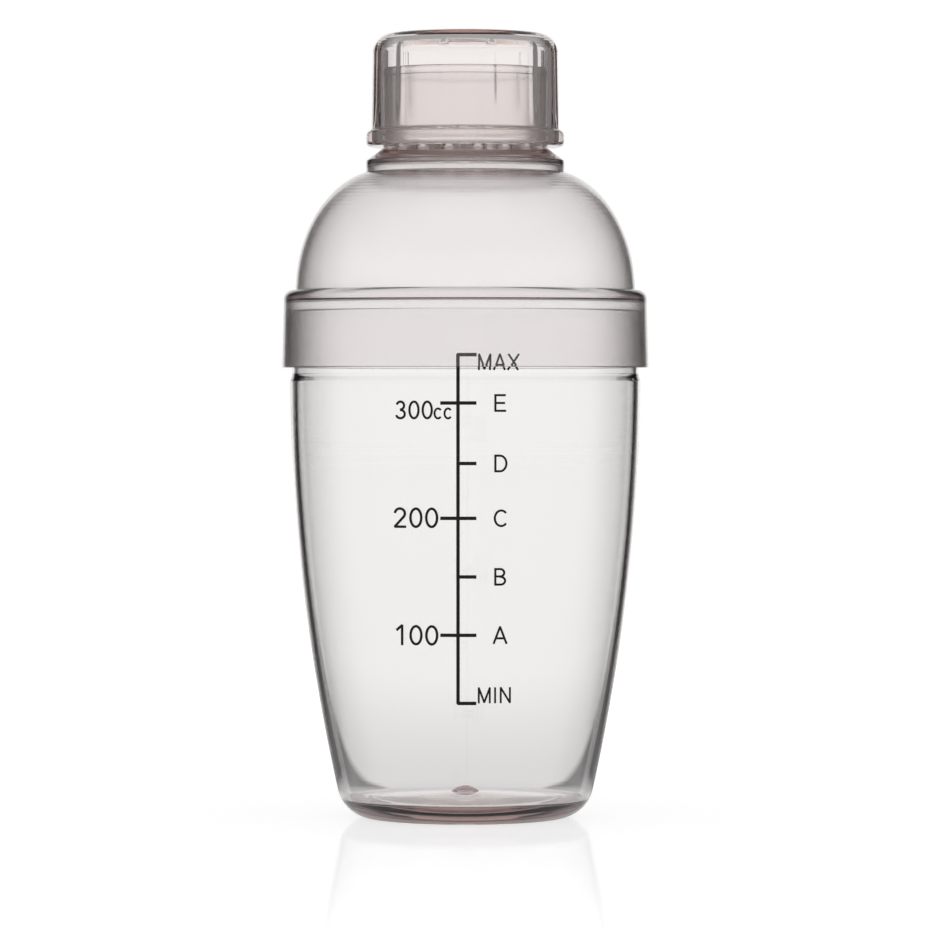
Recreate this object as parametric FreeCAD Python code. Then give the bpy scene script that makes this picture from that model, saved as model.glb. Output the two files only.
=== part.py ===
import FreeCAD, Part
import math
import os

# Three-piece shaker bottle in clear tinted plastic, with the volume scale printed on its cup.
# Millimetres, +Z up. The origin is the centre of the foot ring, on the surface the bottle stands on.
# The printed scale faces -Y.

V = FreeCAD.Vector
AXIS = V(0, 0, 1)
ORIGIN = V(0, 0, 0)

# Cup
WALL_ARC_R = 418.0          # the wall leans in along one long arc
WALL_UPRIGHT_Z = 100.0      # height where that arc is vertical
CUP_R = 39.15               # largest outer radius, just below the skirt
CUP_WALL = 1.5
CUP_CORNER_R = 8.0
FOOT_FLAT = 0.2             # the corner's arc is cut this far above its lowest point
CUP_FLOOR_Z = 4.3           # inside, the floor rises a little from its edge to its middle
FLOOR_MIDDLE_Z = 5.8
FLOOR_ROUND = 0.8
RECESS_R = 21.5
RECESS_TOP_Z = 1.2
RECESS_DRAFT = 0.8
SHOULDER_Z = 97.3           # above here the cup narrows a little, to fit inside the skirt
SHOULDER_HEIGHT = 1.3
RIM_R = 38.7
RIM_ROUND = 0.5
CUP_RIM_Z = 113.0
GATE_R = 3.2                # low button in the middle of the floor, where the mould was fed
GATE_TOP_Z = 7.1

# Strainer top: skirt, dome, ring, cone, neck and strainer plate in one moulding
SKIRT_Z = 100.3
SKIRT_R = 40.9
SKIRT_TOP_R = 40.45
SKIRT_BORE_R = 38.95
SKIRT_EDGE_ROUND = 0.4
LEDGE_UNDER_Z = 115.1
LEDGE_Z = 117.6
LEDGE_ROUND = 2.0
DOME_CENTRE_R = 18.1        # the dome's section is a quarter ellipse, centred off the axis
DOME_CENTRE_Z = 116.9
DOME_HALF_WIDTH = 19.8
DOME_HALF_HEIGHT = 27.6
DOME_WALL = 1.6
DOME_INNER_Z = 117.6        # the dome's inside is upright below this height
RING_R = 22.1               # short upright ring between dome and cone
RING_TOP_Z = 146.5
RING_DROP = 1.0             # the same ring inside ends this much lower
CONE_STEP = 0.8             # and the cone inside meets the plate this far out from the neck's bore
CONE_ROUND = 0.5
NECK_R = 18.0
NECK_BASE_Z = 149.5
NECK_TOP_Z = 166.9
NECK_BORE_R = 16.2
LIP_R = 18.2
LIP_HEIGHT = 1.7
LIP_ROUND = 0.6
MOUTH_ROUND = 0.5
PLATE_Z = 146.9
PLATE_TOP_Z = 148.9
HOLE_R = 1.75
HOLE_RINGS = ((0.0, 1), (6.7, 7), (12.7, 14))   # radius of each ring of holes, and how many
HOLE_START = -14.4          # degrees from the front to the first hole of the outer ring

# Cap
CAP_Z = 149.6
CAP_R = 20.95
CAP_SHOULDER_R = 20.6
CAP_TOP_Z = 175.0
CAP_CROWN = 0.4
CAP_ROUND = 4.0
CAP_BORE_R = 18.5
CAP_TOP_WALL = 1.8
CAP_INNER_ROUND = 2.2
FLANGE_R = 22.1
FLANGE_TOP_Z = 153.2
FLANGE_ROUND = 1.1
FLANGE_FOOT_ROUND = 0.4
FLUTES = 12
FLUTE_START = -13.6         # degrees from the front to the first flute
FLUTE_TOOL_R = 2.4
FLUTE_DEPTH = 0.4
FLUTE_BOTTOM_Z = 155.5       # lowest point of the rod that cuts a flute, outside the cap

# Printed scale
INK = 0.08                  # thickness of the printed film
STEM_X = -1.58
LINE_WIDTH = 0.76
MIN_Z = 27.3
MAX_Z = 102.9
TICK_END_X = 2.25
LONG_TICK_X = -5.27
SHORT_TICKS_Z = (79.45, 54.9)
LONG_TICKS_Z = (92.5, 67.6, 42.2)
LETTER_X = 6.1
LETTER_HEIGHT = 3.85
LETTERS = ("E", 92.5), ("D", 79.45), ("C", 67.6), ("B", 54.9), ("A", 42.2)
NUMBER_X = -15.6
NUMBER_HEIGHT = 4.5
NUMBERS = ("200", 67.7), ("100", 42.15)
TOP_NUMBER_X = -15.2        # the number at the top is smaller, with its unit after it on one base line
TOP_NUMBER_Z = 88.95
TOP_NUMBER_HEIGHT = 4.1
UNIT_X = -6.9
UNIT_HEIGHT = 3.6
LIMIT_X = 2.6               # the words at the two limits start just past the ticks
LIMIT_HEIGHT = 3.5
MAX_WORD_DROP = 3.3         # from the upper limit's line down to the foot of its word
CONDENSED = 0.92            # these words and the top number are drawn narrower
STROKE = 0.125              # stroke width as a share of the height
OVERRUN = 0.2               # how far a stroke runs past its points, as a share of its width
ARC_STEP = 15.0             # degrees between points of a curved stroke

PAST = 1.0                  # how far a cutting tool runs past the faces that it cuts

WALL_CENTRE_R = CUP_R - WALL_ARC_R


def segment(start, end):
    """A straight edge of a section, between two (radius, height) points."""
    return Part.LineSegment(V(start[0], 0, start[1]), V(end[0], 0, end[1])).toShape()


def arc(start, middle, end):
    """A round edge of a section, through three (radius, height) points."""
    points = [V(r, 0, z) for r, z in (start, middle, end)]
    return Part.Arc(*points).toShape()


def revolve(edges):
    """The solid swept by a closed section turned once about the axis."""
    face = Part.Face(Part.Wire(Part.__sortEdges__(edges)))
    return face.revolve(ORIGIN, AXIS, 360)


def cylinder(radius, low, high, x=0.0, y=0.0):
    return Part.makeCylinder(radius, high - low, V(x, y, low))


def rounded(shape, radius, *corners):
    """shape with its circular edges at the (radius, height) corners filleted."""
    picked = []
    for r, z in corners:
        for edge in shape.Edges:
            if edge.Degenerated or not isinstance(edge.Curve, Part.Circle):
                continue
            if abs(edge.Curve.Radius - r) < 0.02 and abs(edge.Curve.Center.z - z) < 0.02:
                picked.append(edge)
    return shape.makeFillet(radius, picked)


def on_circle(radius, degrees):
    """The plan position at radius, at an angle from the front towards +X."""
    turn = math.radians(degrees)
    return radius * math.sin(turn), -radius * math.cos(turn)


def wall_radius(z, inset=0.0):
    """The cup wall's radius at height z, on the surface inset inwards from the outer one."""
    return WALL_CENTRE_R + math.sqrt((WALL_ARC_R - inset) ** 2 - (WALL_UPRIGHT_Z - z) ** 2)


def wall_arc(low, high, inset=0.0):
    ends = [(wall_radius(z, inset), z) for z in (low, (low + high) / 2, high)]
    return arc(*ends)


def corner_arc(corner_r, centre_z, foot_z, inset=0.0):
    """The round between the wall and a floor at foot_z: its edge, its foot and its top point."""
    reach = WALL_ARC_R - inset - corner_r
    drop = WALL_UPRIGHT_Z - centre_z
    centre_r = WALL_CENTRE_R + math.sqrt(reach ** 2 - drop ** 2)
    lean = math.asin(drop / reach)
    low = -math.asin((centre_z - foot_z) / corner_r)
    high = -lean
    points = []
    for turn in (low, (low + high) / 2, high):
        points.append((centre_r + corner_r * math.cos(turn), centre_z + corner_r * math.sin(turn)))
    return arc(*points), points[0], points[2]


def wall_and_rim(low, high, proud=0.0):
    """The section's edges up the cup's outside from low to high, set out by proud."""
    shoulder = (wall_radius(SHOULDER_Z, -proud), SHOULDER_Z)
    step = (RIM_R + proud, SHOULDER_Z + SHOULDER_HEIGHT)
    return [wall_arc(low, SHOULDER_Z, -proud), segment(shoulder, step), segment(step, (step[0], high))]


def cup_body():
    """The cup's outer shape, solid: foot, long wall arc, shoulder and the narrower rim stretch."""
    corner, foot, wall_start = corner_arc(CUP_CORNER_R, CUP_CORNER_R - FOOT_FLAT, 0.0)
    outside = [segment((0, 0), foot), corner] + wall_and_rim(wall_start[1], CUP_RIM_Z)
    top = [segment((RIM_R, CUP_RIM_Z), (0, CUP_RIM_Z)), segment((0, CUP_RIM_Z), (0, 0))]
    return revolve(outside + top)


def cup_hollow():
    """The space inside the cup, up to its rim."""
    corner, foot, wall_start = corner_arc(
        CUP_CORNER_R - CUP_WALL, CUP_CORNER_R - FOOT_FLAT, CUP_FLOOR_Z, CUP_WALL)
    mouth = (wall_radius(CUP_RIM_Z, CUP_WALL), CUP_RIM_Z)
    gate_edge = (GATE_R, FLOOR_MIDDLE_Z)
    gate_height = GATE_TOP_Z - FLOOR_MIDDLE_Z
    ball_r = (GATE_R ** 2 + gate_height ** 2) / (2 * gate_height)
    gate_half = (GATE_R / 2, GATE_TOP_Z - ball_r + math.sqrt(ball_r ** 2 - (GATE_R / 2) ** 2))
    hollow = revolve([
        arc((0, GATE_TOP_Z), gate_half, gate_edge),
        segment(gate_edge, foot),
        corner,
        wall_arc(wall_start[1], CUP_RIM_Z, CUP_WALL),
        segment(mouth, (0, CUP_RIM_Z)),
        segment((0, CUP_RIM_Z), (0, GATE_TOP_Z)),
    ])
    return rounded(hollow, FLOOR_ROUND, foot)


def make_cup():
    recess = Part.makeCone(RECESS_R, RECESS_R - RECESS_DRAFT, RECESS_TOP_Z)
    recess = rounded(recess, RECESS_DRAFT, (RECESS_R - RECESS_DRAFT, RECESS_TOP_Z))
    cup = cup_body().cut(cup_hollow()).cut(recess)
    return rounded(cup, RIM_ROUND, (RIM_R, CUP_RIM_Z), (wall_radius(CUP_RIM_Z, CUP_WALL), CUP_RIM_Z))


def dome_arc(inset, low, ring_r):
    """The dome's section inset from its outside, from height low to where it meets ring_r."""
    half_width = DOME_HALF_WIDTH - inset
    half_height = DOME_HALF_HEIGHT - inset
    centre = V(DOME_CENTRE_R, 0, DOME_CENTRE_Z)
    ellipse = Part.Ellipse(centre + V(0, 0, half_height), centre + V(half_width, 0, 0), centre)
    # both angles are counted from the top of the ellipse
    ring_end = math.asin((ring_r - DOME_CENTRE_R) / half_width)
    low_end = math.acos((low - DOME_CENTRE_Z) / half_height)
    return Part.ArcOfEllipse(ellipse, ring_end, low_end).toShape()


def arc_ends(edge):
    """The lower and the upper (radius, height) end of an edge."""
    ends = sorted((v.Point.z, v.Point.x) for v in edge.Vertexes)
    return [(r, z) for z, r in ends]


def top_body():
    """The strainer top's outer shape, solid."""
    dome = dome_arc(0.0, LEDGE_Z, RING_R)
    low, high = arc_ends(dome)
    lip_z = NECK_TOP_Z - LIP_HEIGHT
    corners = [
        high, (RING_R, RING_TOP_Z), (NECK_R, NECK_BASE_Z), (NECK_R, lip_z - (LIP_R - NECK_R)),
        (LIP_R, lip_z), (LIP_R, NECK_TOP_Z), (0, NECK_TOP_Z), (0, SKIRT_Z), (SKIRT_R, SKIRT_Z),
        (SKIRT_TOP_R, LEDGE_Z), low,
    ]
    body = revolve([segment(a, b) for a, b in zip(corners, corners[1:])] + [dome])
    body = rounded(body, LEDGE_ROUND, (SKIRT_TOP_R, LEDGE_Z))
    body = rounded(body, CONE_ROUND, (RING_R, RING_TOP_Z), (NECK_R, NECK_BASE_Z))
    return rounded(body, LIP_ROUND, (LIP_R, NECK_TOP_Z))


def top_hollow():
    """The space under the strainer plate: inside the skirt, the dome and the ring."""
    dome = dome_arc(DOME_WALL, DOME_INNER_Z, RING_R - DOME_WALL)
    low, high = arc_ends(dome)
    cone_start = (high[0], RING_TOP_Z - RING_DROP)
    cone_end = (NECK_BORE_R + CONE_STEP, PLATE_Z)
    corners = [
        high, cone_start, cone_end, (0, PLATE_Z), (0, SKIRT_Z), (SKIRT_BORE_R, SKIRT_Z),
        (SKIRT_BORE_R, LEDGE_UNDER_Z), (low[0], LEDGE_UNDER_Z), low,
    ]
    return revolve([segment(a, b) for a, b in zip(corners, corners[1:])] + [dome])


def strainer_holes():
    """The holes through the strainer plate, in rings about the axis."""
    holes = []
    for ring_r, count in HOLE_RINGS:
        for i in range(count):
            x, y = on_circle(ring_r, HOLE_START + 360.0 * i / count)
            holes.append(cylinder(HOLE_R, PLATE_Z - PAST, PLATE_TOP_Z + PAST, x, y))
    return Part.makeCompound(holes)


def make_strainer_top():
    top = top_body().cut(top_hollow())
    top = top.cut(cylinder(NECK_BORE_R, PLATE_TOP_Z, NECK_TOP_Z))
    top = rounded(top, MOUTH_ROUND, (NECK_BORE_R, NECK_TOP_Z))
    top = rounded(top, SKIRT_EDGE_ROUND, (SKIRT_R, SKIRT_Z), (SKIRT_BORE_R, SKIRT_Z))
    return top.cut(strainer_holes())


def flute_tool(degrees):
    """A round-ended rod whose side cuts one flute down to its rounded foot."""
    reach = CAP_SHOULDER_R - FLUTE_DEPTH + FLUTE_TOOL_R
    x, y = on_circle(reach, degrees)
    foot_z = FLUTE_BOTTOM_Z + FLUTE_TOOL_R
    rod = cylinder(FLUTE_TOOL_R, foot_z, CAP_TOP_Z + PAST, x, y)
    return rod.fuse(Part.makeSphere(FLUTE_TOOL_R, V(x, y, foot_z)))


def make_cap():
    edge_z = CAP_TOP_Z - CAP_CROWN
    mid_crown = (CAP_SHOULDER_R / 2, CAP_TOP_Z - CAP_CROWN / 4)
    crown = arc((CAP_SHOULDER_R, edge_z), mid_crown, (0, CAP_TOP_Z))
    corners = [
        (0, CAP_TOP_Z), (0, CAP_Z), (FLANGE_R, CAP_Z), (FLANGE_R, FLANGE_TOP_Z),
        (CAP_R, FLANGE_TOP_Z), (CAP_SHOULDER_R, edge_z),
    ]
    cap = revolve([segment(a, b) for a, b in zip(corners, corners[1:])] + [crown])
    cap = rounded(cap, CAP_ROUND, (CAP_SHOULDER_R, edge_z))
    cap = rounded(cap, FLANGE_ROUND, (FLANGE_R, FLANGE_TOP_Z), (FLANGE_R, CAP_Z))
    cap = rounded(cap, FLANGE_FOOT_ROUND, (CAP_R, FLANGE_TOP_Z))
    bore = cylinder(CAP_BORE_R, CAP_Z, edge_z - CAP_TOP_WALL)
    bore = rounded(bore, CAP_INNER_ROUND, (CAP_BORE_R, edge_z - CAP_TOP_WALL))
    cap = cap.cut(bore)
    for i in range(FLUTES):
        cap = cap.cut(flute_tool(FLUTE_START + 360.0 * i / FLUTES))
    return cap


def curve(x, z, half_width, half_height, start, end):
    """Points along an ellipse from start to end, in degrees from +X, in a glyph's own units."""
    steps = max(2, round(abs(end - start) / ARC_STEP))
    points = []
    for i in range(steps + 1):
        turn = math.radians(start + (end - start) * i / steps)
        points.append((x + half_width * math.cos(turn), z + half_height * math.sin(turn)))
    return points


# Each character's advance and the centre lines of its strokes, for a height of 1
FOOT = STROKE / 2
MIDDLE = 0.5
TOP = 1 - FOOT
HALF = MIDDLE - FOOT            # half the height of a full-height bowl
UPPER_Z = 0.73                  # middle heights of the two bowls of a 3 and a B
LOWER_Z = 0.28
UPPER = TOP - UPPER_Z
LOWER = LOWER_Z - FOOT
SMALL_Z = 0.36                  # middle height of a small letter
LOW = OVERRUN * STROKE          # upright strokes run past these ends to heights 0 and 1
HIGH = 1 - LOW
STEM = [(0.10, LOW), (0.10, HIGH)]
GLYPHS = {
    "0": (0.76, [curve(0.33, MIDDLE, 0.26, HALF, 0, 360)]),
    "1": (0.76, [[(0.42, LOW), (0.42, HIGH), (0.16, 0.74)]]),
    "2": (0.76, [curve(0.32, 0.70, 0.24, TOP - 0.70, 170, -38) + [(0.07, FOOT), (0.60, FOOT)]]),
    "3": (0.76, [
        curve(0.31, UPPER_Z, 0.21, UPPER, 160, -90),
        curve(0.31, LOWER_Z, 0.25, LOWER, 90, -160),
    ]),
    "c": (0.60, [curve(0.28, SMALL_Z, 0.21, SMALL_Z - FOOT, 45, 315)]),
    "A": (0.90, [[(0.01, LOW), (0.37, HIGH), (0.73, LOW)], [(0.14, 0.32), (0.60, 0.32)]]),
    "B": (0.90, [
        STEM,
        [(0.10, TOP)] + curve(0.38, UPPER_Z, 0.22, UPPER, 90, -90) + [(0.10, UPPER_Z - UPPER)],
        curve(0.40, LOWER_Z, 0.25, LOWER, 90, -90) + [(0.10, FOOT)],
    ]),
    "C": (0.96, [curve(0.43, MIDDLE, 0.36, HALF, 45, 315)]),
    "D": (0.96, [STEM, [(0.10, TOP)] + curve(0.36, MIDDLE, 0.36, HALF, 90, -90) + [(0.10, FOOT)]]),
    "E": (0.90, [
        STEM, [(0.10, TOP), (0.66, TOP)], [(0.10, MIDDLE), (0.62, MIDDLE)], [(0.10, FOOT), (0.68, FOOT)],
    ]),
    "M": (1.10, [[(0.10, LOW), (0.10, HIGH), (0.47, 0.06), (0.84, HIGH), (0.84, LOW)]]),
    "X": (0.90, [[(0.04, LOW), (0.72, HIGH)], [(0.04, HIGH), (0.72, LOW)]]),
    "I": (0.38, [STEM]),
    "N": (0.96, [STEM + [(0.72, LOW), (0.72, HIGH)]]),
}


def bar(start, end, width):
    """A straight stroke seen from the front, as a prism from the axis to in front of the cup."""
    along = V(end[0] - start[0], 0, end[1] - start[1])
    overrun = OVERRUN * width
    depth = CUP_R + PAST
    box = Part.makeBox(along.Length + 2 * overrun, depth, width, V(-overrun, -depth, -width / 2))
    box.rotate(ORIGIN, V(0, -1, 0), math.degrees(math.atan2(along.z, along.x)))
    box.translate(V(start[0], 0, start[1]))
    return box


def stroke(points, width):
    """The prisms of one stroke through points."""
    return [bar(a, b, width) for a, b in zip(points, points[1:])]


def text(words, x, z, height, squeeze=1.0):
    """The prisms of a line of characters, its bottom left corner at (x, z)."""
    prisms = []
    for letter in words:
        advance, strokes = GLYPHS[letter]
        for points in strokes:
            placed = [(x + px * height * squeeze, z + pz * height) for px, pz in points]
            prisms += stroke(placed, STROKE * height)
        x += advance * height * squeeze
    return prisms


def ink_skin():
    """A thin skin all round the cup's outside, which the printed outlines are cut from."""
    low, high = MIN_Z - NUMBER_HEIGHT, MAX_Z + NUMBER_HEIGHT
    bottom = segment((wall_radius(low), low), (wall_radius(low, -INK), low))
    top = segment((RIM_R, high), (RIM_R + INK, high))
    return revolve(wall_and_rim(low, high) + [top, bottom] + wall_and_rim(low, high, INK))


def make_scale_print():
    """The printed film on the front of the cup: stem, ticks, numbers and letters."""
    prisms = stroke([(STEM_X, MIN_Z), (STEM_X, MAX_Z)], LINE_WIDTH)
    for z in (MIN_Z, MAX_Z) + SHORT_TICKS_Z:
        prisms += stroke([(STEM_X, z), (TICK_END_X, z)], LINE_WIDTH)
    for z in LONG_TICKS_Z:
        prisms += stroke([(LONG_TICK_X, z), (TICK_END_X, z)], LINE_WIDTH)
    for letter, z in LETTERS:
        prisms += text(letter, LETTER_X, z - LETTER_HEIGHT / 2, LETTER_HEIGHT)
    for number, z in NUMBERS:
        prisms += text(number, NUMBER_X, z - NUMBER_HEIGHT / 2, NUMBER_HEIGHT)
    prisms += text("300", TOP_NUMBER_X, TOP_NUMBER_Z, TOP_NUMBER_HEIGHT, CONDENSED)
    prisms += text("cc", UNIT_X, TOP_NUMBER_Z, UNIT_HEIGHT)
    prisms += text("MAX", LIMIT_X, MAX_Z - MAX_WORD_DROP, LIMIT_HEIGHT, CONDENSED)
    prisms += text("MIN", LIMIT_X, MIN_Z, LIMIT_HEIGHT, CONDENSED)
    outline = prisms[0].multiFuse(prisms[1:])
    return outline.common(ink_skin())


def write(name, shape):
    shape.exportStep("parts/" + name + ".step")
    print(name, shape.isValid(), len(shape.Solids), "solids", round(shape.Volume, 1), "mm3")


os.makedirs("parts", exist_ok=True)
write("cup", make_cup())
write("strainer_top", make_strainer_top())
write("cap", make_cap())
write("scale_print", make_scale_print())
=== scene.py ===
import math

import bmesh
import bpy
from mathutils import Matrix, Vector


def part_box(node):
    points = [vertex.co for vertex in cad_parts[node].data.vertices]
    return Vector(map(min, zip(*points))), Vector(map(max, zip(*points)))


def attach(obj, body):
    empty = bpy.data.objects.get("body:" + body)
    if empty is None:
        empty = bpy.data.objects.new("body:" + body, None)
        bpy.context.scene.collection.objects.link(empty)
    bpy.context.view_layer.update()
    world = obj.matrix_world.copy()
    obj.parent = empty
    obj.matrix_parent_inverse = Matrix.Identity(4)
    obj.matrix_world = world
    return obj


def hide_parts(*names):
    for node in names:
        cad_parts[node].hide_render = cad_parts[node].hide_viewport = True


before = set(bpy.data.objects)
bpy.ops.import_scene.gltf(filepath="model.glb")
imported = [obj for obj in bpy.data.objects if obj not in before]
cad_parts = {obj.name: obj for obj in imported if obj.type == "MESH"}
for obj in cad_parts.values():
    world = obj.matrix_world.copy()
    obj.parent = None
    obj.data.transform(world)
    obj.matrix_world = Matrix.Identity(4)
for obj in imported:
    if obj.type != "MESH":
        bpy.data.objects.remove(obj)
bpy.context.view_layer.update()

# Shaker bottle in clear smoke-tinted plastic. Lengths below are millimetres unless their comment says
# otherwise, and they are scaled to metres as meshes are made.
MM = 0.001


def span(node):
    """A CAD node's outer radius, lowest height and highest height, in millimetres."""
    low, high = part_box(node)
    return high.x / MM, low.z / MM, high.z / MM


CUP_R, CUP_Z, CUP_RIM_Z = span("cup")
SKIRT_R, SKIRT_Z, NECK_TOP_Z = span("strainer_top")
FLANGE_R, CAP_Z, CAP_TOP_Z = span("cap")

# Cup
WALL_ARC_R = 418.0
WALL_UPRIGHT_Z = 100.0
CUP_WALL = 1.5
WALL_CENTRE_R = CUP_R - WALL_ARC_R
CUP_CORNER_R = 8.0
CUP_CORNER_Z = 7.8
RECESS_R = 21.5
RECESS_TOP_Z = 1.2
RECESS_DRAFT = 0.8
FOOT_ROUND = 0.1
CUP_FLOOR_Z = 4.3
FLOOR_MIDDLE_Z = 5.8
FLOOR_ROUND = 0.8
SHOULDER_Z = 97.3
SHOULDER_HEIGHT = 1.3
SHOULDER_ROUND = 2.0
RIM_R = CUP_R - 0.45
RIM_ROUND = 0.5
GATE_R = 3.2
GATE_TOP_Z = 7.1

# Strainer top
SKIRT_TOP_R = SKIRT_R - 0.45
SKIRT_BORE_R = SKIRT_R - 1.95
SKIRT_EDGE_ROUND = 0.4
LEDGE_UNDER_Z = SKIRT_Z + 14.8
LEDGE_UNDER_ROUND = 0.5
LEDGE_Z = SKIRT_Z + 17.3
LEDGE_ROUND = 2.0
DOME_CENTRE_R = 18.1
DOME_CENTRE_Z = LEDGE_Z - 0.7
DOME_HALF_WIDTH = 19.8
DOME_HALF_HEIGHT = 27.6
DOME_WALL = 1.6
DOME_START = 2.5            # the dome's inner wall is upright this far above the ledge's underside
RING_R = 22.1
RING_TOP_Z = 146.5
RING_ROUND = 0.5
NECK_R = 18.0
NECK_BASE_Z = 149.5
NECK_BORE_R = 16.2
LIP_R = 18.2
LIP_HEIGHT = 1.7
LIP_ROUND = 0.6
MOUTH_ROUND = 0.5
PLATE_Z = 146.9
PLATE_TOP_Z = 148.9
PLATE_ROUND = 0.3
STEP_OUT = 0.8              # under the plate, the neck's bore steps out to the dome's inner wall
STEP_DROP = 1.0
STEP_ROUND = 0.8
HOLE_R = 1.75
HOLE_RINGS = ((0.0, 1), (6.7, 7), (12.7, 14))
HOLE_START = -14.4

# Cap
CAP_R = FLANGE_R - 1.15
CAP_SHOULDER_R = FLANGE_R - 1.5
CAP_CROWN = 0.4
CAP_ROUND = 4.0
CAP_BORE_R = 18.5
CAP_TOP_WALL = 1.8
CEILING_ROUND = 2.2
CAP_FOOT_ROUND = 0.3
CAP_EDGE_Z = CAP_TOP_Z - CAP_CROWN
FLANGE_TOP_Z = CAP_Z + 3.6
FLANGE_ROUND = 1.1
FLANGE_FILLET = 0.4
FLUTES = 12
FLUTE_START = -13.6
FLUTE_HALF_WIDTH = 1.5
FLUTE_DEPTH = 0.28
FLUTE_BOTTOM_Z = 155.5
FLUTE_RISE = 2.4            # height over which a flute deepens from its lower end

# Plastic and ink
PLASTIC_IOR = 1.57
SMOKE_DENSITY = 84.0        # how strongly a metre of plastic absorbs what its tint lacks
CUP_TINT = (0.77, 0.68, 0.668)
TOP_TINT = (0.79, 0.68, 0.655)
CAP_TINT = (0.85, 0.70, 0.655)
POLISHED = 0.015            # roughness of the cup and the cap
SATIN = 0.12                # and of the strainer top
RIPPLE = 0.02               # strength of the ripple that the mould leaves
RIPPLE_DEPTH = 0.002        # metres

# Studio. Directions are in degrees to each side of straight behind the bottle, distances in metres from
# its middle. A tone is a brightness, with the white backdrop at 1.
BACK_TONE = 1.0
FLAG_START = 17.0           # the bright backdrop ends and a dark flag starts
FLAG_END = 36.0
FLAG_TONE = 0.03
EDGE_FADE = 5.0
SIDE_TONE = 0.2             # the tent beside the flags
FRONT_START = 62.0          # it brightens towards the sides, and stays so round to the camera
FRONT_FULL = 90.0
FRONT_TONE = 0.68
ROOF_TONE = 0.4
ROOF_START = 0.25           # sine of the elevation at which the roof starts, and is full
ROOF_FULL = 0.6
FLOOR_GLOW = 0.82           # the floor is a light table: most of its light comes from within
FLOOR_WHITE = 0.6
FLOOR_GLOSS = 0.2
FLOOR_ROUGHNESS = 0.08
FLOOR_HALF = 6.0
FLOOR_GAP = 0.0001          # between the floor and the bottle's foot
FAR_FLOOR = 0.97
SHADE_TONE = 0.72           # painted shadow: the floor is a little dimmer close to the bottle
SHADE_REACH = 0.6
LIGHT_POOL_TONE = 0.7
LIGHT_POOL_REACH = 0.04           # painted light: the whole floor is bright within this distance, and it fades by twice that
DISTANT_FLOOR = 1.4         # seen directly, the floor runs into the white backdrop
SEEN_START = 0.05
SEEN_FULL = 0.6

# Camera
LENS = 190.2
SENSOR = 36.0
CAMERA_PLACE = (-0.00018, -1.097, 0.0942)
CAMERA_DIP = 0.81           # degrees that it looks below level

# Fineness of the meshes
ARC_STEP = math.radians(9.0)
RUN_STEP = 3.0
EDGE = 0.15                 # a row of faces this wide lies along each sharp edge
TURNS = 256
DOME_STEPS = 28
GATE_RINGS = (1.0, 0.85, 0.7, 0.5, 0.25)    # as shares of the gate button's radius
FLUTE_SPREAD = math.radians(5.2)            # turns lie close together this far each side of a flute
SHARP = math.radians(35.0)  # edges that turn more than this stay sharp


# --- sections ---------------------------------------------------------------------------------------

def fillet(before, tip, after, radius):
    """The points that round the corner at tip off with a radius."""
    back, on = (before - tip).normalized(), (after - tip).normalized()
    half = back.angle(on) / 2
    start, end = tip + back * radius / math.tan(half), tip + on * radius / math.tan(half)
    centre = tip + (back + on).normalized() * radius / math.sin(half)
    turn = (start - centre).angle(end - centre)
    steps = max(3, math.ceil(turn / ARC_STEP))
    points = []
    for i in range(steps + 1):
        share = i / steps
        first = math.sin((1 - share) * turn) / math.sin(turn)
        last = math.sin(share * turn) / math.sin(turn)
        points.append(centre + (start - centre) * first + (end - centre) * last)
    return points


def section(*corners):
    """A section's points from (radius, height, rounding) corners; two-value corners stay sharp."""
    spots = [Vector(c[:2]) for c in corners]
    path = [spots[0]]
    for i in range(1, len(corners) - 1):
        radius = corners[i][2] if len(corners[i]) > 2 else 0
        path += fillet(*spots[i - 1:i + 2], radius) if radius else [spots[i]]
    path.append(spots[-1])
    return with_edge_rows(path)


def with_edge_rows(path):
    """path with rows close to each end of its longer runs, and regular rows between them."""
    points = [path[0]]
    for a, b in zip(path, path[1:]):
        length = (b - a).length
        if length > 4 * EDGE:
            along = (b - a) / length
            inner = length - 2 * EDGE
            steps = max(1, math.ceil(inner / RUN_STEP))
            points += [a + along * (EDGE + inner * i / steps) for i in range(steps + 1)]
        points.append(b)
    return points


def wall_radius(z, inset=0.0):
    return WALL_CENTRE_R + math.sqrt((WALL_ARC_R - inset) ** 2 - (WALL_UPRIGHT_Z - z) ** 2)


def wall(low, high, inset=0.0):
    """Corners up the cup's long wall arc."""
    steps = max(2, round(abs(high - low) / RUN_STEP))
    heights = [low + (high - low) * i / steps for i in range(steps + 1)]
    return [(wall_radius(z, inset), z) for z in heights]


def corner(radius, centre_z, foot_z, inset=0.0):
    """Corners round the cup's lower edge, from its foot to where it meets the wall arc."""
    reach = WALL_ARC_R - inset - radius
    drop = WALL_UPRIGHT_Z - centre_z
    centre_r = WALL_CENTRE_R + math.sqrt(reach ** 2 - drop ** 2)
    low = -math.asin((centre_z - foot_z) / radius)
    high = -math.asin(drop / reach)
    steps = math.ceil((high - low) / ARC_STEP) * 2
    turns = [low + (high - low) * i / steps for i in range(steps + 1)]
    return [(centre_r + radius * math.cos(t), centre_z + radius * math.sin(t)) for t in turns]


def dome(inset, low_z, ring_r):
    """Corners up the dome's quarter ellipse, from height low_z to where it meets ring_r."""
    half_width, half_height = DOME_HALF_WIDTH - inset, DOME_HALF_HEIGHT - inset
    low = math.asin((low_z - DOME_CENTRE_Z) / half_height)
    high = math.acos((ring_r - DOME_CENTRE_R) / half_width)
    turns = [low + (high - low) * i / DOME_STEPS for i in range(DOME_STEPS + 1)]
    return [
        (DOME_CENTRE_R + half_width * math.cos(t), DOME_CENTRE_Z + half_height * math.sin(t))
        for t in turns
    ]


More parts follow.
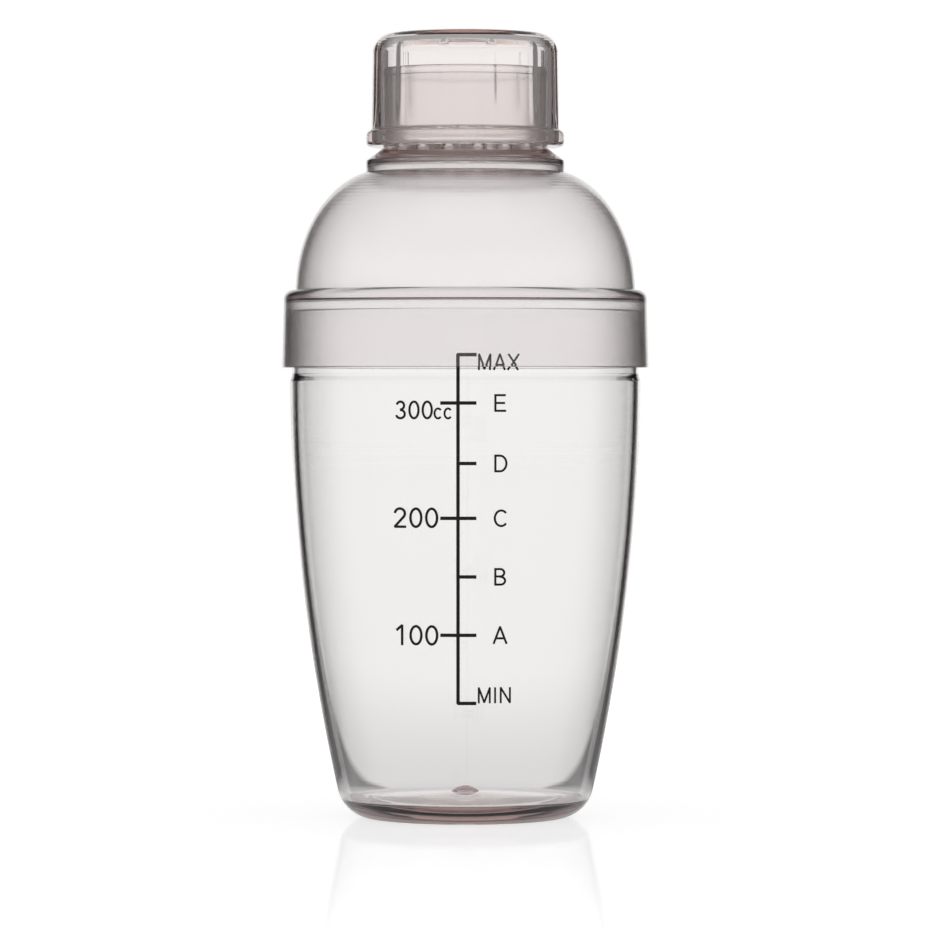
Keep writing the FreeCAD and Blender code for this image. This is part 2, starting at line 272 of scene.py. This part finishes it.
def cup_section():
    outer_corner = corner(CUP_CORNER_R, CUP_CORNER_Z, 0.0)
    inner_corner = corner(CUP_CORNER_R - CUP_WALL, CUP_CORNER_Z, CUP_FLOOR_Z, CUP_WALL)
    gate_height = GATE_TOP_Z - FLOOR_MIDDLE_Z
    ball_r = (GATE_R ** 2 + gate_height ** 2) / (2 * gate_height)
    gate = [(GATE_R * s, GATE_TOP_Z - ball_r + math.sqrt(ball_r ** 2 - (GATE_R * s) ** 2))
            for s in GATE_RINGS]
    return section(
        (0, RECESS_TOP_Z), (RECESS_R - RECESS_DRAFT, RECESS_TOP_Z, RECESS_DRAFT),
        (RECESS_R, 0, FOOT_ROUND),
        *outer_corner, *wall(outer_corner[-1][1], SHOULDER_Z)[1:],
        (RIM_R, SHOULDER_Z + SHOULDER_HEIGHT, SHOULDER_ROUND), (RIM_R, CUP_RIM_Z, RIM_ROUND),
        (wall_radius(CUP_RIM_Z, CUP_WALL), CUP_RIM_Z, RIM_ROUND),
        *wall(CUP_RIM_Z - 2, inner_corner[-1][1], CUP_WALL), *reversed(inner_corner[1:-1]),
        (*inner_corner[0], FLOOR_ROUND), *gate, (0, GATE_TOP_Z),
    )


def top_section():
    lip_z = NECK_TOP_Z - LIP_HEIGHT
    inner_low_z = LEDGE_UNDER_Z + DOME_START
    inner_dome = dome(DOME_WALL, inner_low_z, RING_R - DOME_WALL)
    return section(
        (0, PLATE_Z), (NECK_BORE_R + STEP_OUT, PLATE_Z, PLATE_ROUND),
        (RING_R - DOME_WALL, RING_TOP_Z - STEP_DROP, STEP_ROUND),
        *reversed(inner_dome), (inner_dome[0][0], LEDGE_UNDER_Z, LEDGE_UNDER_ROUND),
        (SKIRT_BORE_R, LEDGE_UNDER_Z, LEDGE_UNDER_ROUND), (SKIRT_BORE_R, SKIRT_Z, SKIRT_EDGE_ROUND),
        (SKIRT_R, SKIRT_Z, SKIRT_EDGE_ROUND), (SKIRT_TOP_R, LEDGE_Z, LEDGE_ROUND),
        *dome(0.0, LEDGE_Z, RING_R),
        (RING_R, RING_TOP_Z, RING_ROUND), (NECK_R, NECK_BASE_Z, RING_ROUND),
        (NECK_R, lip_z - (LIP_R - NECK_R)), (LIP_R, lip_z), (LIP_R, NECK_TOP_Z, LIP_ROUND),
        (NECK_BORE_R, NECK_TOP_Z, MOUTH_ROUND), (NECK_BORE_R, PLATE_TOP_Z, PLATE_ROUND),
        (0, PLATE_TOP_Z),
    )


def cap_section():
    ceiling_z = CAP_EDGE_Z - CAP_TOP_WALL
    return section(
        (0, ceiling_z), (CAP_BORE_R, ceiling_z, CEILING_ROUND), (CAP_BORE_R, CAP_Z, CAP_FOOT_ROUND),
        (FLANGE_R, CAP_Z, FLANGE_ROUND), (FLANGE_R, FLANGE_TOP_Z, FLANGE_ROUND),
        (CAP_R, FLANGE_TOP_Z, FLANGE_FILLET), (CAP_SHOULDER_R, CAP_EDGE_Z, CAP_ROUND),
        (CAP_SHOULDER_R / 2, CAP_TOP_Z - CAP_CROWN / 4), (0, CAP_TOP_Z),
    )


# --- meshes -----------------------------------------------------------------------------------------

def even_turns(count):
    return [2 * math.pi * i / count for i in range(count)]


def lathe(name, points, turns, reshape=None):
    """A closed surface of revolution through a section that starts and ends on the axis."""
    mesh = bmesh.new()
    rings = []
    for point in points:
        if point.x < 1e-6:
            rings.append([mesh.verts.new((0, 0, point.y * MM))])
            continue
        ring = []
        for turn in turns:
            radius = reshape(point.x, point.y, turn) if reshape else point.x
            spot = (radius * math.sin(turn) * MM, -radius * math.cos(turn) * MM, point.y * MM)
            ring.append(mesh.verts.new(spot))
        rings.append(ring)
    for lower, upper in zip(rings, rings[1:]):
        for i in range(len(turns)):
            j = (i + 1) % len(turns)
            if len(lower) == 1:
                mesh.faces.new((lower[0], upper[i], upper[j]))
            elif len(upper) == 1:
                mesh.faces.new((lower[i], lower[j], upper[0]))
            else:
                mesh.faces.new((lower[i], lower[j], upper[j], upper[i]))
    bmesh.ops.recalc_face_normals(mesh, faces=mesh.faces)
    return finished(name, mesh)


def finished(name, mesh):
    """An object from mesh, shaded smooth but for its sharp edges."""
    smooth(mesh)
    data = bpy.data.meshes.new(name)
    mesh.to_mesh(data)
    mesh.free()
    obj = bpy.data.objects.new(name, data)
    bpy.context.scene.collection.objects.link(obj)
    return obj


def smooth(mesh):
    for face in mesh.faces:
        face.smooth = True
    for edge in mesh.edges:
        edge.smooth = edge.calc_face_angle(0.0) < SHARP


def cut_away(obj, cutter):
    """obj with the cutter's shape taken out of it."""
    step = obj.modifiers.new("cut", "BOOLEAN")
    step.operation, step.solver, step.object = "DIFFERENCE", "EXACT", cutter
    graph = bpy.context.evaluated_depsgraph_get()
    data = bpy.data.meshes.new_from_object(obj.evaluated_get(graph), depsgraph=graph)
    obj.modifiers.remove(step)
    mesh = bmesh.new()
    mesh.from_mesh(data)
    smooth(mesh)
    mesh.to_mesh(data)
    mesh.free()
    obj.data = data
    bpy.data.objects.remove(cutter)


def hole_cutter():
    """Rods through the strainer plate, flared where they leave it so that each hole is chamfered."""
    flare, past = 0.25, 0.6
    outline = [
        Vector((0, PLATE_Z - past)), Vector((HOLE_R + flare + past, PLATE_Z - past)),
        Vector((HOLE_R, PLATE_Z + flare)), Vector((HOLE_R, PLATE_TOP_Z - flare)),
        Vector((HOLE_R + flare + past, PLATE_TOP_Z + past)), Vector((0, PLATE_TOP_Z + past)),
    ]
    rod = lathe("rod", outline, even_turns(40))
    mesh = bmesh.new()
    for ring_r, count in HOLE_RINGS:
        for i in range(count):
            turn = math.radians(HOLE_START) + 2 * math.pi * i / count
            start = len(mesh.verts)
            mesh.from_mesh(rod.data)
            mesh.verts.ensure_lookup_table()
            move = Vector((ring_r * math.sin(turn), -ring_r * math.cos(turn), 0)) * MM
            bmesh.ops.translate(mesh, verts=mesh.verts[start:], vec=move)
    bpy.data.objects.remove(rod)
    return finished("hole_cutter", mesh)


def flute_turns():
    """Turns round the cap, close together across each flute and wider apart between them."""
    across, between = 22, 9
    half = FLUTE_SPREAD
    sector = 2 * math.pi / FLUTES
    turns = []
    for i in range(FLUTES):
        centre = math.radians(FLUTE_START) + sector * i
        turns += [centre - half + 2 * half * k / across for k in range(across)]
        turns += [centre + half + (sector - 2 * half) * k / between for k in range(between)]
    return turns


def fluted(radius, z, turn):
    """radius, brought in softly where a flute runs up the side and over the top's edge."""
    sector = 2 * math.pi / FLUTES
    off = (turn - math.radians(FLUTE_START) + sector / 2) % sector - sector / 2
    across = CAP_SHOULDER_R * off / FLUTE_HALF_WIDTH
    if abs(across) >= 1 or z <= FLUTE_BOTTOM_Z:
        return radius
    rise = min(1.0, (z - FLUTE_BOTTOM_Z) / FLUTE_RISE)
    depth = FLUTE_DEPTH * math.cos(across * math.pi / 2) ** 2 * math.sin(rise * math.pi / 2)
    taper = (CAP_R - CAP_SHOULDER_R) * (CAP_EDGE_Z - z) / (CAP_EDGE_Z - FLANGE_TOP_Z)
    return min(radius, CAP_SHOULDER_R + taper - depth)


# --- materials --------------------------------------------------------------------------------------

def node(tree, kind, **inputs):
    made = tree.nodes.new(kind)
    for name, value in inputs.items():
        made.inputs[name.replace("_", " ")].default_value = value
    return made


def clear_plastic(name, tint, haze):
    """Clear smoke-tinted plastic: absorbs with depth, slightly hazed and rippled by its mould."""
    material = bpy.data.materials.new(name)
    material.use_nodes = True
    tree = material.node_tree
    shader = tree.nodes["Principled BSDF"]
    shader.inputs["Base Color"].default_value = (1, 1, 1, 1)
    shader.inputs["Transmission Weight"].default_value = 1.0
    shader.inputs["IOR"].default_value = PLASTIC_IOR
    place = node(tree, "ShaderNodeTexCoord")
    flow = node(tree, "ShaderNodeTexNoise", Scale=28.0, Detail=2.0, Roughness=0.4)
    tree.links.new(place.outputs["Object"], flow.inputs["Vector"])
    grain = node(tree, "ShaderNodeTexNoise", Scale=140.0, Detail=4.0, Roughness=0.6)
    tree.links.new(place.outputs["Object"], grain.inputs["Vector"])
    rough = node(tree, "ShaderNodeMapRange", To_Min=haze * 0.6, To_Max=haze * 1.6)
    tree.links.new(grain.outputs["Fac"], rough.inputs["Value"])
    tree.links.new(rough.outputs["Result"], shader.inputs["Roughness"])
    bump = node(tree, "ShaderNodeBump", Strength=RIPPLE, Distance=RIPPLE_DEPTH)
    tree.links.new(flow.outputs["Fac"], bump.inputs["Height"])
    tree.links.new(bump.outputs["Normal"], shader.inputs["Normal"])
    absorb = node(tree, "ShaderNodeVolumeAbsorption", Color=(*tint, 1), Density=SMOKE_DENSITY)
    tree.links.new(absorb.outputs["Volume"], tree.nodes["Material Output"].inputs["Volume"])
    return material


def black_ink():
    """Screen-printed ink: near black, a little uneven."""
    material = bpy.data.materials.new("black_ink")
    material.use_nodes = True
    tree = material.node_tree
    shader = tree.nodes["Principled BSDF"]
    place = node(tree, "ShaderNodeTexCoord")
    mottle = node(tree, "ShaderNodeTexNoise", Scale=900.0, Detail=3.0)
    tree.links.new(place.outputs["Object"], mottle.inputs["Vector"])
    tone = node(tree, "ShaderNodeValToRGB")
    tone.color_ramp.elements[0].color = (0.004, 0.004, 0.004, 1)
    tone.color_ramp.elements[1].color = (0.014, 0.013, 0.013, 1)
    tree.links.new(mottle.outputs["Fac"], tone.inputs["Fac"])
    tree.links.new(tone.outputs["Color"], shader.inputs["Base Color"])
    rough = node(tree, "ShaderNodeMapRange", To_Min=0.45, To_Max=0.7)
    tree.links.new(mottle.outputs["Fac"], rough.inputs["Value"])
    tree.links.new(rough.outputs["Result"], shader.inputs["Roughness"])
    shader.inputs["Specular IOR Level"].default_value = 0.3
    return material


# --- studio -----------------------------------------------------------------------------------------

def math_node(tree, operation, first, second=None):
    """A maths node fed by two sockets or numbers; its output socket."""
    made = tree.nodes.new("ShaderNodeMath")
    made.operation = operation
    for socket, value in zip(made.inputs, (first, second)):
        if isinstance(value, (int, float)):
            socket.default_value = value
        elif value is not None:
            tree.links.new(value, socket)
    return made.outputs[0]


def ramp_up(tree, value, low, high, bottom=0.0, top=1.0):
    """A smooth rise from bottom to top as a socket goes from low to high."""
    made = node(tree, "ShaderNodeMapRange", From_Min=low, From_Max=high, To_Min=bottom, To_Max=top)
    made.interpolation_type = "SMOOTHSTEP"
    tree.links.new(value, made.inputs["Value"])
    return made.outputs["Result"]


def surround(tree, x, y):
    """The studio's brightness in a plan direction: backdrop, a dark flag each side, then the tent."""
    angle = math_node(tree, "ARCTAN2", math_node(tree, "ABSOLUTE", x), y)
    angle = math_node(tree, "DEGREES", angle)
    backdrop = ramp_up(tree, angle, FLAG_START, FLAG_START + EDGE_FADE, BACK_TONE, FLAG_TONE)
    sides = ramp_up(tree, angle, FLAG_END - EDGE_FADE, FLAG_END + EDGE_FADE, 0.0, SIDE_TONE)
    front = ramp_up(tree, angle, FRONT_START, FRONT_FULL, 0.0, FRONT_TONE - SIDE_TONE)
    return math_node(tree, "MAXIMUM", backdrop, math_node(tree, "ADD", sides, front))


def split_xyz(tree, socket):
    made = tree.nodes.new("ShaderNodeSeparateXYZ")
    tree.links.new(socket, made.inputs[0])
    return made.outputs


def make_floor():
    """A glossy white light table, with painted light round the bottle and painted shade from the flags
    further away.
    """
    mesh = bmesh.new()
    bmesh.ops.create_grid(mesh, x_segments=1, y_segments=1, size=FLOOR_HALF)
    floor = finished("floor", mesh)
    floor.location.z = -FLOOR_GAP
    material = bpy.data.materials.new("floor")
    material.use_nodes = True
    tree = material.node_tree
    tree.nodes.remove(tree.nodes["Principled BSDF"])
    spot = tree.nodes.new("ShaderNodeTexCoord").outputs["Object"]
    x, y, _ = split_xyz(tree, spot)
    distance = node(tree, "ShaderNodeVectorMath")
    distance.operation = "LENGTH"
    tree.links.new(spot, distance.inputs[0])
    # painted shadow: the floor's glow and colour dim close to the bottle
    painted_shade = ramp_up(tree, distance.outputs["Value"], 0.0, SHADE_REACH, SHADE_TONE, FAR_FLOOR)
    # painted shade: the floor's tone is darker in the directions of the studio's dark flags
    painted_shade = math_node(tree, "MULTIPLY", surround(tree, x, y), painted_shade)
    # painted pool of light on the floor round the bottle's foot, which lights its base from below
    near = ramp_up(tree, distance.outputs["Value"], LIGHT_POOL_REACH, 2 * LIGHT_POOL_REACH, LIGHT_POOL_TONE, 0.0)
    seen = ramp_up(tree, distance.outputs["Value"], SEEN_START, SEEN_FULL, 1.0, DISTANT_FLOOR)
    sight = tree.nodes.new("ShaderNodeLightPath").outputs["Is Camera Ray"]
    direct = math_node(tree, "MULTIPLY", seen, sight)
    tone = math_node(tree, "MAXIMUM", math_node(tree, "MAXIMUM", painted_shade, near), direct)
    white = math_node(tree, "MULTIPLY", tone, FLOOR_WHITE)
    glow = tree.nodes.new("ShaderNodeEmission")
    tree.links.new(math_node(tree, "MULTIPLY", tone, FLOOR_GLOW), glow.inputs["Strength"])
    sheet = tree.nodes.new("ShaderNodeBsdfDiffuse")
    tree.links.new(white, sheet.inputs["Color"])
    lit = tree.nodes.new("ShaderNodeAddShader")
    tree.links.new(glow.outputs[0], lit.inputs[0])
    tree.links.new(sheet.outputs[0], lit.inputs[1])
    gloss = node(tree, "ShaderNodeBsdfAnisotropic", Roughness=FLOOR_ROUGHNESS)
    both = node(tree, "ShaderNodeMixShader", Fac=FLOOR_GLOSS)
    tree.links.new(lit.outputs[0], both.inputs[1])
    tree.links.new(gloss.outputs[0], both.inputs[2])
    tree.links.new(both.outputs[0], tree.nodes["Material Output"].inputs["Surface"])
    floor.data.materials.append(material)


def make_world():
    """A white tent: the surround near the horizon, and a dimmer roof."""
    world = bpy.data.worlds.new("studio")
    world.use_nodes = True
    tree = world.node_tree
    x, y, z = split_xyz(tree, tree.nodes.new("ShaderNodeTexCoord").outputs["Generated"])
    low = surround(tree, x, y)
    up = ramp_up(tree, z, ROOF_START, ROOF_FULL)
    blend = node(tree, "ShaderNodeMix")
    tree.links.new(up, blend.inputs["Factor"])
    tree.links.new(low, blend.inputs["A"])
    blend.inputs["B"].default_value = ROOF_TONE
    sight = tree.nodes.new("ShaderNodeLightPath").outputs["Is Camera Ray"]
    light = math_node(tree, "MAXIMUM", blend.outputs["Result"], sight)
    tree.nodes["Background"].inputs["Color"].default_value = (1, 1, 1, 1)
    tree.links.new(light, tree.nodes["Background"].inputs["Strength"])
    bpy.context.scene.world = world


def make_camera():
    """A long lens looking slightly down at the bottle's front."""
    data = bpy.data.cameras.new("camera")
    data.lens = LENS
    data.sensor_width = SENSOR
    camera = bpy.data.objects.new("camera", data)
    camera.location = CAMERA_PLACE
    camera.rotation_euler = (math.radians(90 - CAMERA_DIP), 0, 0)
    bpy.context.scene.collection.objects.link(camera)
    bpy.context.scene.camera = camera


def set_light_paths():
    cycles = bpy.context.scene.cycles
    cycles.max_bounces = 24
    cycles.transmission_bounces = 24
    cycles.glossy_bounces = 12
    cycles.transparent_max_bounces = 16
    bpy.context.scene.view_settings.view_transform = "Standard"


def paint(piece, material):
    piece.data.materials.clear()
    piece.data.materials.append(material)


def place(piece, node_name, slot, material):
    """piece stands for a CAD node and rides on the body of the same name."""
    paint(piece, material)
    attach(piece, node_name)
    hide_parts(node_name)


make_camera()
make_world()
make_floor()
set_light_paths()

cup = lathe("cup_shell", cup_section(), even_turns(TURNS))
top = lathe("strainer_top_shell", top_section(), even_turns(TURNS))
cut_away(top, hole_cutter())
cap = lathe("cap_shell", cap_section(), flute_turns(), fluted)

place(cup, "cup", "cup_plastic", clear_plastic("cup_plastic", CUP_TINT, POLISHED))
place(top, "strainer_top", "top_plastic", clear_plastic("top_plastic", TOP_TINT, SATIN))
place(cap, "cap", "cap_plastic", clear_plastic("cap_plastic", CAP_TINT, POLISHED))
paint(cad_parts["scale_print"], black_ink())
